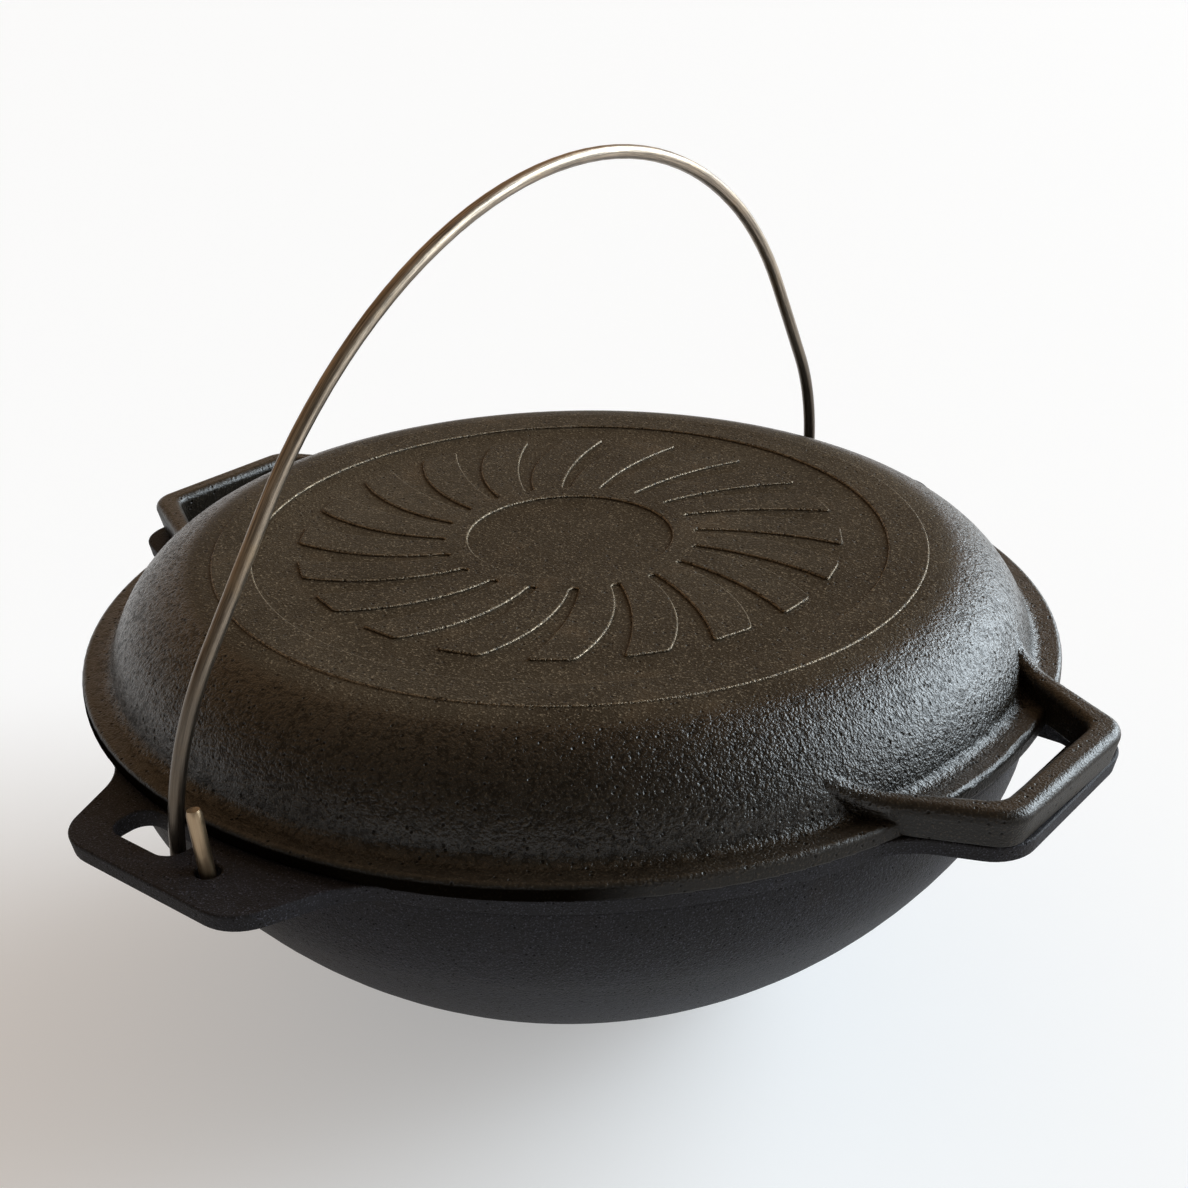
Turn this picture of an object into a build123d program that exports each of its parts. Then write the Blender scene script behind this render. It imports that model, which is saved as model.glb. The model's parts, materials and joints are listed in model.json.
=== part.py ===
from build123d import *
import os
from math import atan2, cos, hypot, radians, sin, sqrt, tan

# Cast iron cauldron: a bowl with four lugs on its rim, a lid that turns over to serve as a
# frying pan, and a bail of bent steel wire hooked into two of the lugs.
# Millimetres, +Z up. The origin is on the ground under the middle of the bowl. The lid's
# handles lie along X and the lugs of the bail along Y.

# Bowl
rim_height = 127.0            # top of the rim above the ground
belly_drop = 12.0             # the bowl is widest this far under the rim
belly_radius = 169.5
side_curve = 60.0             # radius of the curve from the belly down
foot_cut = 6.0                # how much of the round bottom the flat foot cuts away
bowl_wall = 4.5
bowl_floor = 5.0
mouth_lip = 8.0               # how far the rim is thickened inwards, under the seat ring

# Rim and seat of the lid
collar_width = 4.0            # of the collar under the rim, out from the belly
collar_drop = 2.0
rim_lip = 3.5                 # of the rim, out from the collar
rim_thickness = 6.0
rim_draft = 12.0              # degrees, so that the casting leaves the mould
collar_draft = 1.0
collar_cove = 2.0
seat_height = 2.5             # the low ring that keeps the lid from sliding off
seat_clearance = 1.5

# Lugs
grip_lug_length = 26.0        # from the rim to the outer edge of the lugs along X
bail_lug_length = 29.0        # and of the lugs along Y
lug_end_half = 39.0
lug_flare = 22.0              # degrees between each side and the middle line
lug_corner = 17.0
lug_neck = 26.0
casting_edge = 0.8
grip_bar_width = 17.0         # of the iron outside the finger slot, under the lid's handles
grip_slot_half = 37.0
grip_slot_corner = 7.0
bail_slot_end = -30.0         # where the slot of each bail lug begins, along X
bail_slot_width = 16.0
bail_slot_corner = 6.5
bail_bar_width = 12.0         # of the iron outside the slot
web_width = 10.0              # what is left between the slot and the tip's hole
web_offset = 5.0              # of each web from the middle line, the front one towards +X
tip_hole_diameter = 8.0

# Lid
lid_height = 38.0
lid_turn = -1.8               # degrees that the lid lies turned on the pot
flange_overhang = 1.5         # of the lid beyond the rim of the pot
flange_thickness = 6.0
flange_upper_edge = 2.0
flange_lower_edge = 1.0
flange_cove = 4.0
lid_wall = 4.5
shoulder_inset = 48.5         # from the edge of the flange in to the top of the shoulder
shoulder_radius = 39.0
foot_step = 0.6
foot_width = 14.6             # of the ring that the lid stands on when it is turned over

# Swirl on the top of the lid
swirl_step = 0.8
hub_inner_radius = 37.5
hub_outer_radius = 46.0
blade_count = 20
blade_phase = 1.0             # degrees from the handle to the middle of the first blade tip
blade_tip_radius = 99.5
blade_mid_radius = 77.0
blade_leading = (4.5, 13.2, 21.4)      # degrees at the tip, the middle and the hub
blade_trailing = (-4.5, 1.0, 7.2)

# Handles of the lid
handle_length = 27.0          # from the edge of the flange
handle_draft = 14.0           # degrees, the outer face leans in towards the lug below
handle_end_half = 36.0
handle_flare = 24.9           # degrees between each arm and the middle line
handle_corner = 13.0
handle_bar = 11.0
handle_rise = 7.5             # above the top of the flange
handle_shoulder = 3.2
handle_lower_edge = 1.0
handle_clearance = 0.5        # over the lug below
gap_end_half = 29.0
gap_flare = 28.8
gap_corner = 7.0
horn_radius = 16.0            # where the arms run up onto the shoulder of the lid

# Bail
wire_diameter = 5.0
leg_inset = 19.0              # from the outer edge of the lug to the middle of the leg
tip_inset = 14.8
hook_reach = 9.1              # from the hinge to the leg, and to the tip, along X
leg_straight = 4.85           # from the hinge up to where the leg bends inwards
bend_radius = 105.0
leg_slant = 33.3              # degrees from upright, between the bend and the arch
arch_radius = 174.0
front_tip_rise = 20.5         # of the wire's end above the front lug
back_tip_rise = 11.0
tip_edge = 0.5
bail_lean = 4.4               # degrees from upright, towards +X, as the bail stands at rest

cut_margin = 1.0              # how far a cut runs past the face that it opens
same_place = 0.01             # closer than this, two radii count as one

# Levels and places that follow
collar_radius = belly_radius + collar_width
rim_radius = collar_radius + rim_lip
grip_lug_reach = rim_radius + grip_lug_length
grip_slot_reach = grip_lug_reach - grip_bar_width
bail_lug_reach = rim_radius + bail_lug_length
bail_slot_middle = bail_lug_reach - bail_bar_width - bail_slot_width / 2
leg_spread = bail_lug_reach - leg_inset
tip_spread = bail_lug_reach - tip_inset
flange_radius = rim_radius + flange_overhang
shoulder_start = flange_radius - shoulder_inset
foot_inner_radius = shoulder_start - foot_width
handle_reach = flange_radius + handle_length
belly_height = rim_height - belly_drop
mouth_radius = belly_radius - bowl_wall - mouth_lip
mouth_level = belly_height + mouth_lip
rim_bottom = rim_height - rim_thickness
flange_top = rim_height + flange_thickness
lid_top = rim_height + lid_height
field_level = lid_top - swirl_step
shoulder_level = lid_top - foot_step
shoulder_centre = shoulder_level - shoulder_radius
handle_bottom = rim_height + handle_clearance
handle_top = flange_top + handle_rise
handle_taper = (handle_top - handle_bottom) * tan(radians(handle_draft))
horn_rise = handle_top + horn_radius - shoulder_centre
horn_span = shoulder_radius + horn_radius
horn_start = shoulder_start + sqrt(horn_span**2 - horn_rise**2)
hinge_height = rim_height - rim_thickness / 2
hinge_turn = atan2(web_offset, bail_slot_middle)      # radians, seen from above
across = Vector(cos(hinge_turn), sin(hinge_turn), 0)
along = Vector(-sin(hinge_turn), cos(hinge_turn), 0)
lid_bore = shoulder_start + sqrt(
    (shoulder_radius - lid_wall) ** 2 - (rim_height - shoulder_centre) ** 2
)
seat_radius = lid_bore - seat_clearance


def corner(sketch, x, y):
    """The vertex of a sketch that lies nearest to a point."""
    return sketch.vertices().sort_by_distance((x, y, 0))[0]


def polar(radius, angle):
    """A point of a plan, from its radius and its angle in degrees."""
    return (radius * cos(radians(angle)), radius * sin(radians(angle)))


def bowl_section(inset, bottom):
    """Half a section of the bowl up to the belly, drawn inside the outer skin by inset."""
    fall = belly_height + foot_cut
    side_x = belly_radius - side_curve
    bottom_curve = (side_x**2 + fall**2 - side_curve**2) / (2 * (fall - side_curve))
    bottom_centre = bottom_curve - foot_cut
    run = hypot(side_x, bottom_centre - belly_height)
    down = (bottom_centre - belly_height) / run
    out = side_x / run
    flat = sqrt((bottom_curve - inset) ** 2 - (bottom_centre - bottom) ** 2)
    join = (
        side_x + (side_curve - inset) * out,
        belly_height - (side_curve - inset) * down,
    )
    belly = (belly_radius - inset, belly_height)
    return (0, bottom), (flat, bottom), join, belly, bottom_curve - inset


def draw_bowl(inset, bottom, *above):
    """Closed outline of the bowl's section, from its flat bottom up through the points above."""
    start, flat, join, belly, bottom_curve = bowl_section(inset, bottom)
    with BuildLine() as outline:
        Line(start, flat)
        RadiusArc(flat, join, -bottom_curve)
        RadiusArc(join, belly, -(side_curve - inset))
        Polyline(belly, *above, (0, above[-1][1]), start)
    return outline.line


def draw_collar():
    """Closed outline of the collar under the rim, with a cove down to the bowl's side."""
    level = rim_bottom - collar_drop
    cove_x = belly_radius + collar_cove
    touch = (belly_radius, level - collar_cove)
    inside = belly_radius - bowl_wall
    with BuildLine() as outline:
        Polyline(
            (cove_x, level),
            (collar_radius - collar_draft, level),
            (collar_radius, rim_bottom),
            (inside, rim_bottom),
            (inside, touch[1]),
            touch,
        )
        RadiusArc(touch, (cove_x, level), collar_cove)
    return outline.line


def draw_lugs():
    """Outline of the rim with its four lugs, seen from above."""
    Circle(rim_radius)
    for start, reach in ((0, grip_lug_reach), (90, bail_lug_reach)):
        root_half = lug_end_half + (reach - mouth_radius) * tan(radians(lug_flare))
        with PolarLocations(0, 2, start):
            Polygon(
                (mouth_radius, -root_half),
                (reach, -lug_end_half),
                (reach, lug_end_half),
                (mouth_radius, root_half),
                align=None,
            )


# Cauldron pot: bowl, rim, seat ring and lugs in one casting
with BuildPart() as rim_plate:
    with BuildSketch(Plane.XY.offset(rim_height)) as lug_plan:
        draw_lugs()
        ends = lug_plan.vertices().filter_by(lambda v: hypot(v.X, v.Y) > grip_lug_reach)
        fillet(ends, lug_corner)
        necks = lug_plan.vertices().filter_by(lambda v: abs(hypot(v.X, v.Y) - rim_radius) < same_place)
        fillet(necks, lug_neck)
    extrude(amount=-rim_thickness, taper=rim_draft)
    with BuildSketch(Plane.XY.offset(rim_height)):
        with PolarLocations(0, 2):
            with Locations((grip_slot_reach / 2, 0)):
                RectangleRounded(grip_slot_reach, 2 * grip_slot_half, grip_slot_corner)
        Circle(collar_radius + casting_edge, mode=Mode.SUBTRACT)
        for side in (-1, 1):
            slot_length = -side * web_offset - web_width / 2 - bail_slot_end
            with Locations((bail_slot_end + slot_length / 2, side * bail_slot_middle)):
                RectangleRounded(slot_length, bail_slot_width, bail_slot_corner)
            with Locations(across * hook_reach + along * (side * tip_spread)):
                Circle(tip_hole_diameter / 2)
    extrude(amount=-rim_thickness - cut_margin, mode=Mode.SUBTRACT)
    fillet(rim_plate.faces().sort_by(Axis.Z)[-1].edges(), casting_edge)

with BuildPart() as cauldron_pot:
    with BuildSketch(Plane.XZ) as bowl_outline:
        make_face(draw_bowl(0, 0, (belly_radius, rim_height)).edges())
    revolve(axis=Axis.Z)
    with BuildSketch(Plane.XZ):
        make_face(draw_collar().edges())
    revolve(axis=Axis.Z)
    add(rim_plate.part)
    with BuildSketch(Plane.XY.offset(rim_height)):
        Circle(seat_radius)
    extrude(amount=seat_height)
    fillet(cauldron_pot.faces().sort_by(Axis.Z)[-1].edges(), casting_edge)
    with BuildSketch(Plane.XZ):
        mouth = ((mouth_radius, mouth_level), (mouth_radius, rim_height + seat_height + cut_margin))
        make_face(draw_bowl(bowl_wall, bowl_floor, *mouth).edges())
    revolve(axis=Axis.Z, mode=Mode.SUBTRACT)

cauldron_pot.part.label = "cauldron_pot"


def draw_lid_skin():
    """Closed outline of the lid's outer skin, from the flange to the sunken field."""
    wall_foot = shoulder_start + sqrt(shoulder_radius**2 - (flange_top - shoulder_centre) ** 2)
    with BuildLine() as outline:
        Polyline(
            (0, field_level),
            (0, rim_height),
            (flange_radius, rim_height),
            (flange_radius, flange_top),
            (wall_foot, flange_top),
        )
        RadiusArc((wall_foot, flange_top), (shoulder_start, shoulder_level), -shoulder_radius)
        Polyline(
            (shoulder_start, shoulder_level),
            (shoulder_start, lid_top),
            (foot_inner_radius, lid_top),
            (foot_inner_radius, field_level),
            (0, field_level),
        )
    return outline.line


def draw_lid_hollow():
    """Closed outline of the hollow under the lid, one wall inside its skin."""
    inner_radius = shoulder_radius - lid_wall
    ceiling = shoulder_centre + inner_radius
    with BuildLine() as outline:
        Polyline(
            (shoulder_start, ceiling),
            (0, ceiling),
            (0, rim_height - cut_margin),
            (lid_bore, rim_height - cut_margin),
            (lid_bore, rim_height),
        )
        RadiusArc((lid_bore, rim_height), (shoulder_start, ceiling), -inner_radius)
    return outline.line


def draw_arms(end, half, flare):
    """Tapered outline that runs from the lid's wall out to a straight end."""
    root_half = half + (end - shoulder_start) * tan(radians(flare))
    with BuildLine() as outline:
        Polyline(
            (shoulder_start, -root_half),
            (end, -half),
            (end, half),
            (shoulder_start, root_half),
            close=True,
        )
    return outline.line


def draw_handle_side():
    """Closed outline of the handle's side view, with the horn that runs up the shoulder."""
    share = shoulder_radius / horn_span
    touch = (
        shoulder_start + (horn_start - shoulder_start) * share,
        shoulder_centre + horn_rise * share,
    )
    far = handle_reach + handle_end_half
    with BuildLine() as outline:
        RadiusArc((horn_start, handle_top), touch, horn_radius)
        Polyline(
            touch,
            (shoulder_start, touch[1]),
            (shoulder_start, handle_bottom),
            (far, handle_bottom),
            (far, handle_top),
            (horn_start, handle_top),
        )
    return outline.line


def draw_blade():
    """Closed outline of one curved blade, from inside the hub out to its tip."""
    lead = [
        polar(blade_tip_radius, blade_leading[0]),
        polar(blade_mid_radius, blade_leading[1]),
        polar(hub_inner_radius, blade_leading[2]),
    ]
    trail = [
        polar(blade_tip_radius, blade_trailing[0]),
        polar(blade_mid_radius, blade_trailing[1]),
        polar(hub_inner_radius, blade_trailing[2]),
    ]
    with BuildLine() as outline:
        ThreePointArc(*lead)
        Line(lead[2], trail[2])
        ThreePointArc(*reversed(trail))
        Line(trail[0], lead[0])
    return outline.line


def meets_horn(edge):
    """Whether an edge of the handle's top is where the horn starts to rise."""
    return edge.geom_type == GeomType.CIRCLE and abs(edge.radius - horn_start) < same_place


# Lid pan: domed lid with its flange, two loop handles and the swirl, in one casting
with BuildPart() as loop_handle:
    with BuildSketch(Plane.XY.offset(handle_bottom)) as loop_plan:
        make_face(draw_arms(handle_reach, handle_end_half, handle_flare).edges())
        fillet(loop_plan.vertices().group_by(Axis.X)[-1], handle_corner)
        offset(amount=-handle_taper)
    extrude(amount=lid_top - handle_bottom, taper=-handle_draft)
    with BuildSketch(Plane.XY.offset(handle_bottom)) as gap_plan:
        make_face(draw_arms(handle_reach - handle_bar, gap_end_half, gap_flare).edges())
        fillet(gap_plan.vertices().group_by(Axis.X)[-1], gap_corner)
    extrude(amount=lid_top - handle_bottom, mode=Mode.SUBTRACT)
    with BuildSketch(Plane.XZ):
        make_face(draw_handle_side().edges())
    revolve(axis=Axis.Z, mode=Mode.INTERSECT)
    loop_top = loop_handle.faces().filter_by(Axis.Z).sort_by(Axis.Z)[1]
    outline = loop_top.edges().filter_by(lambda e: not meets_horn(e))
    fillet(outline, handle_shoulder)
    lower = loop_handle.faces().sort_by(Axis.Z)[0].edges()
    fillet(lower.filter_by(lambda e: e.center().X > flange_radius), handle_lower_edge)

with BuildSketch() as blade:
    make_face(draw_blade().edges())

with BuildPart() as lid_pan:
    with BuildSketch(Plane.XZ) as skin:
        make_face(draw_lid_skin().edges())
        fillet(corner(skin, flange_radius, rim_height), flange_lower_edge)
        fillet(corner(skin, flange_radius, flange_top), flange_upper_edge)
        fillet(corner(skin, shoulder_start + shoulder_radius, flange_top), flange_cove)
    revolve(axis=Axis.Z)
    with PolarLocations(0, 2, lid_turn):
        add(loop_handle.part)
    with BuildSketch(Plane.XZ):
        make_face(draw_lid_hollow().edges())
    revolve(axis=Axis.Z, mode=Mode.SUBTRACT)
    with BuildSketch(Plane.XY.offset(field_level)):
        Circle(hub_outer_radius)
        with PolarLocations(0, blade_count, lid_turn + blade_phase):
            add(blade.sketch)
        Circle(hub_inner_radius, mode=Mode.SUBTRACT)
    extrude(amount=swirl_step)

lid_pan.part.label = "lid_pan"


# Bail handle: one steel wire, arched over the lid and hooked up through both lugs
bend_corner = leg_straight + bend_radius * tan(radians(leg_slant) / 2)
arch_corner = bend_corner + leg_spread / tan(radians(leg_slant))
upright = Vector(0, 0, 1)
bail_frame = Plane(
    origin=(0, 0, hinge_height),
    x_dir=across * cos(radians(bail_lean)) - upright * sin(radians(bail_lean)),
    z_dir=across * sin(radians(bail_lean)) + upright * cos(radians(bail_lean)),
)


def hook(side, tip_rise):
    """Points of the turn under the web and of the wire's free end, at one lug."""
    turn_radius = hypot(2 * hook_reach, tip_spread - leg_spread) / 2
    leg = (-hook_reach, side * leg_spread, 0)
    low = (0, side * (leg_spread + tip_spread) / 2, -turn_radius)
    tip = (hook_reach, side * tip_spread, 0)
    end = (hook_reach, side * tip_spread, rim_thickness / 2 + tip_rise)
    return leg, low, tip, end


with BuildPart() as bail_handle:
    with BuildLine(bail_frame) as wire_path:
        for leg, low, tip, end in (hook(-1, front_tip_rise), hook(1, back_tip_rise)):
            Line(end, tip)
            ThreePointArc(tip, low, leg)
        FilletPolyline(
            (-hook_reach, -leg_spread, 0),
            (-hook_reach, -leg_spread, bend_corner),
            (-hook_reach, 0, arch_corner),
            (-hook_reach, leg_spread, bend_corner),
            (-hook_reach, leg_spread, 0),
            radius=(bend_radius, arch_radius, bend_radius),
        )
    tip_end = bail_frame.from_local_coords(hook(-1, front_tip_rise)[3])
    with BuildSketch(Plane(tip_end, z_dir=bail_frame.z_dir)):
        Circle(wire_diameter / 2)
    sweep(path=wire_path.wires()[0])
    ends = bail_handle.faces().filter_by(GeomType.PLANE).edges()
    chamfer(ends, tip_edge)

bail_handle.part.label = "bail_handle"

os.makedirs("parts", exist_ok=True)
export_step(cauldron_pot.part, "parts/cauldron_pot.step")
export_step(lid_pan.part, "parts/lid_pan.step")
export_step(bail_handle.part, "parts/bail_handle.step")
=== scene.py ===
import json
import math
from collections import namedtuple

import bmesh
import bpy
from mathutils import Matrix, Vector


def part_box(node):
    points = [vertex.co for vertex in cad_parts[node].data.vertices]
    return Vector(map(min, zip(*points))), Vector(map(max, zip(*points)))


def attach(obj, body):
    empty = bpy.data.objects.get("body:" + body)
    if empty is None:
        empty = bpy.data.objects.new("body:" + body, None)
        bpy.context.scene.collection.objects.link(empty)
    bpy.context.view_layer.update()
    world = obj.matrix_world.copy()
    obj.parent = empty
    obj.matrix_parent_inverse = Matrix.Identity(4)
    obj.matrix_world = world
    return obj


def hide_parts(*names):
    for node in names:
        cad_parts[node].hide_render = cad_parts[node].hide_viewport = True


bl_info = {
    "name": "Cast Iron Cauldron",
    "version": (1, 0, 0),
    "blender": (4, 5, 0),
    "location": "3D View > Sidebar > Cauldron",
    "description": "Dresses the cauldron's pot, frying pan lid and wire bail for a studio picture",
    "category": "Object",
}

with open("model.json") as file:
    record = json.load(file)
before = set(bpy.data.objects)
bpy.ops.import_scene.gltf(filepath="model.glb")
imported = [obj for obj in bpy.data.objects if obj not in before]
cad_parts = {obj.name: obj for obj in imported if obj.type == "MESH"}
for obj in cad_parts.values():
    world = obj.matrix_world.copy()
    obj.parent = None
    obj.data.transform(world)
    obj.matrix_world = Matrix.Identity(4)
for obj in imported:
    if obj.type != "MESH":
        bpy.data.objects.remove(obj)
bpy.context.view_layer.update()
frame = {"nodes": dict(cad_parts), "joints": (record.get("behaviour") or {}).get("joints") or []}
lid_low, lid_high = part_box("lid_pan")
pot_low, pot_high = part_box("cauldron_pot")

MM = 0.001
WHITE = (1.0, 1.0, 1.0, 1.0)
BLACK = (0.0, 0.0, 0.0, 1.0)

SMOOTH_ANGLE = 50.0         # degrees; edges sharper than this stay sharp
SAME_PLACE = 0.002 * MM     # points of the casting that lie closer than this are one
MERGE_DISTANCE = 0.001 * MM     # and points of a blade or a ring

FIELD_SLOPE = 2.0 * MM      # of the slope that closes the casting under the foot ring, inwards
FIELD_LEAST_AREA = 0.001    # square metres; only the flat field's face is larger
RELIEF_ROOT = 0.4 * MM      # how far the ornament reaches into the casting
BLADE_OVERLAP = 2.5 * MM    # how far the blades run in under the ring that they spring from

BLADE_PHASE = 1.0           # degrees from the handle to the middle of the first blade tip
BLADE_SIDES = {             # degrees from the middle of a blade's tip, at three places along each side
    "Leading Angle Tip": 4.5,
    "Leading Angle Middle": 13.2,
    "Leading Angle Hub": 21.9,
    "Trailing Angle Tip": -4.5,
    "Trailing Angle Middle": 1.0,
    "Trailing Angle Hub": 7.7,
}

LUG_SHORTFALL = 0.188 * MM  # from the end of the pot's box out to the line that its lugs are drawn to
LEG_INSET = 19.0 * MM       # from the outer edge of the lug to the middle of the bail's leg
TIP_INSET = 14.8 * MM       # and to the middle of the wire's tip
HOOK_REACH = 9.1 * MM       # from the hinge to the leg, and to the tip, across the lug
HOOK_SHARE = 0.999          # of half the hook's width that rounds each of its corners
LEG_STRAIGHT = 4.85 * MM    # from the hinge up to where the leg bends inwards
LEG_SLANT = math.radians(33.3)      # from upright, between the bend and the arch
BEND_RADIUS = 105.0 * MM
ARCH_RADIUS = 174.0 * MM
FRONT_TIP_RISE = 23.5 * MM
FRONT_TIP_LEAN = 5.0 * MM   # how far the front tip leans in towards the leg
TIP_BEND_LEVEL = 1.0 * MM   # where the front tip starts to lean
TIP_BEND_RADIUS = 8.0 * MM
BACK_TIP_RISE = 14.0 * MM
GOLDEN_LENGTH = 34.0 * MM   # of each end of the wire that is stained golden
ROUNDED_END = 1.2 * MM      # of each end of the wire that narrows

FLOOR_RADIUS = 14.0         # metres
WINDOW_SOFTNESS = math.radians(8.0)
CAMERA_PLACE = (0.38917, -0.47275, 0.43042)
CAMERA_HEADING = math.radians(38.6824)      # where the camera stands, from -Y towards +X
CAMERA_HEIGHT = math.radians(25.3335)       # how steeply it looks down
CAMERA_ROLL = math.radians(-1.2462)


# Node trees

class Term:
    """A socket of a node tree that can stand in a Python expression."""

    def __init__(self, tree, socket):
        self.tree = tree
        self.socket = socket

    def math(self, operation, *values):
        node = self.tree.nodes.new("ShaderNodeMath")
        node.operation = operation
        for socket, value in zip(node.inputs, values):
            feed(self.tree, socket, value)
        return Term(self.tree, node.outputs[0])

    def __add__(self, other):
        return self.math("ADD", self, other)

    def __radd__(self, other):
        return self.math("ADD", other, self)

    def __sub__(self, other):
        return self.math("SUBTRACT", self, other)

    def __rsub__(self, other):
        return self.math("SUBTRACT", other, self)

    def __mul__(self, other):
        return self.math("MULTIPLY", self, other)

    def __rmul__(self, other):
        return self.math("MULTIPLY", other, self)

    def __truediv__(self, other):
        return self.math("DIVIDE", self, other)

    def __gt__(self, other):
        return self.math("GREATER_THAN", self, other)

    def __lt__(self, other):
        return self.math("LESS_THAN", self, other)

    def cos(self):
        return self.math("COSINE", self)

    def sin(self):
        return self.math("SINE", self)

    def root(self):
        return self.math("SQRT", self)

    def least(self, other):
        return self.math("MINIMUM", self, other)

    def most(self, other):
        return self.math("MAXIMUM", self, other)

    def clamped(self):
        return self.most(0.0).least(1.0)


def feed(tree, socket, value):
    """Gives a socket a constant, or links a term to it."""
    if isinstance(value, Term):
        tree.links.new(value.socket, socket)
    else:
        socket.default_value = value


class Bench:
    """Adds nodes of any type to one tree."""

    def __init__(self, tree):
        self.tree = tree

    def node(self, kind, settings=None, values=None):
        """A node with its settings made first, then the values or links of its sockets."""
        node = self.tree.nodes.new(kind)
        for name, value in (settings or {}).items():
            setattr(node, name, value)
        for name, value in (values or {}).items():
            feed(self.tree, node.inputs[name], value)
        return node

    def make(self, kind, settings=None, values=None, output=0):
        """One output of a new node, as a term."""
        node = self.node(kind, settings, values)
        return Term(self.tree, node.outputs[output])

    def combine(self, x, y, z):
        return self.make("ShaderNodeCombineXYZ", None, {"X": x, "Y": y, "Z": z})

    def split(self, vector):
        node = self.node("ShaderNodeSeparateXYZ", None, {"Vector": vector})
        return [Term(self.tree, socket) for socket in node.outputs]

    def vector(self, operation, *values):
        return self.make("ShaderNodeVectorMath", {"operation": operation}, dict(enumerate(values)))

    def length(self, vector):
        return self.make(
            "ShaderNodeVectorMath", {"operation": "LENGTH"}, {0: vector}, output="Value"
        )

    def attribute(self, name, output):
        """A named attribute of the mesh, in a material."""
        node = self.node("ShaderNodeAttribute", {"attribute_name": name})
        return Term(self.tree, node.outputs[output])

    def scale(self, vector, factor):
        return self.make(
            "ShaderNodeVectorMath", {"operation": "SCALE"}, {"Vector": vector, "Scale": factor}
        )

    def noise(self, vector, scale, detail=2.0, roughness=0.5, distortion=0.0):
        return self.make(
            "ShaderNodeTexNoise",
            None,
            {
                "Vector": vector,
                "Scale": scale,
                "Detail": detail,
                "Roughness": roughness,
                "Distortion": distortion,
            },
        )

    def cells(self, vector, scale):
        """How far each place is from the middle of its cell."""
        return self.make("ShaderNodeTexVoronoi", None, {"Vector": vector, "Scale": scale})

    def ramp(self, value, low, high):
        """0 under low and 1 over high, with a soft rise between them."""
        return self.make(
            "ShaderNodeMapRange",
            {"interpolation_type": "SMOOTHSTEP"},
            {"Value": value, "From Min": low, "From Max": high},
        )

    def mix(self, factor, first, second):
        """A colour between two colours."""
        return self.make(
            "ShaderNodeMix",
            {"data_type": "RGBA"},
            {0: factor, 6: first, 7: second},
            output=2,
        )


def start_material(name):
    """An empty material and its bench."""
    material = bpy.data.materials.new(name)
    material.use_nodes = True
    material.node_tree.nodes.clear()
    bench = Bench(material.node_tree)
    return material, bench


def finish_material(bench, shader_values, height, distance, strength, dull=None):
    """Joins colours, roughness and relief into the surface, which a mask may turn dull."""
    bump = bench.make(
        "ShaderNodeBump", None, {"Height": height, "Distance": distance, "Strength": strength}
    )
    surface = bench.make("ShaderNodeBsdfPrincipled", None, dict(shader_values, Normal=bump))
    if dull is not None:
        dry_values = {
            "Base Color": shader_values["Base Color"],
            "Roughness": 0.8,
            "Specular IOR Level": 0.0,
            "Normal": bump,
        }
        dry = bench.make("ShaderNodeBsdfPrincipled", None, dry_values)
        surface = bench.make("ShaderNodeMixShader", None, {0: dull, 1: surface, 2: dry})
    bench.node("ShaderNodeOutputMaterial", None, {"Surface": surface})


# The last field is how strongly the rim's edge is darkened and dulled as painted shade
Rim = namedtuple("Rim", ("radius", "level", "soot"))
IronSkin = namedtuple(
    "IronSkin", ("scale", "calm_level", "rim", "roughness", "specular", "dryness", "dry_top")
)


def rgba(colour, strength=1.0):
    return (colour[0] * strength, colour[1] * strength, colour[2] * strength, 1.0)


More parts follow.
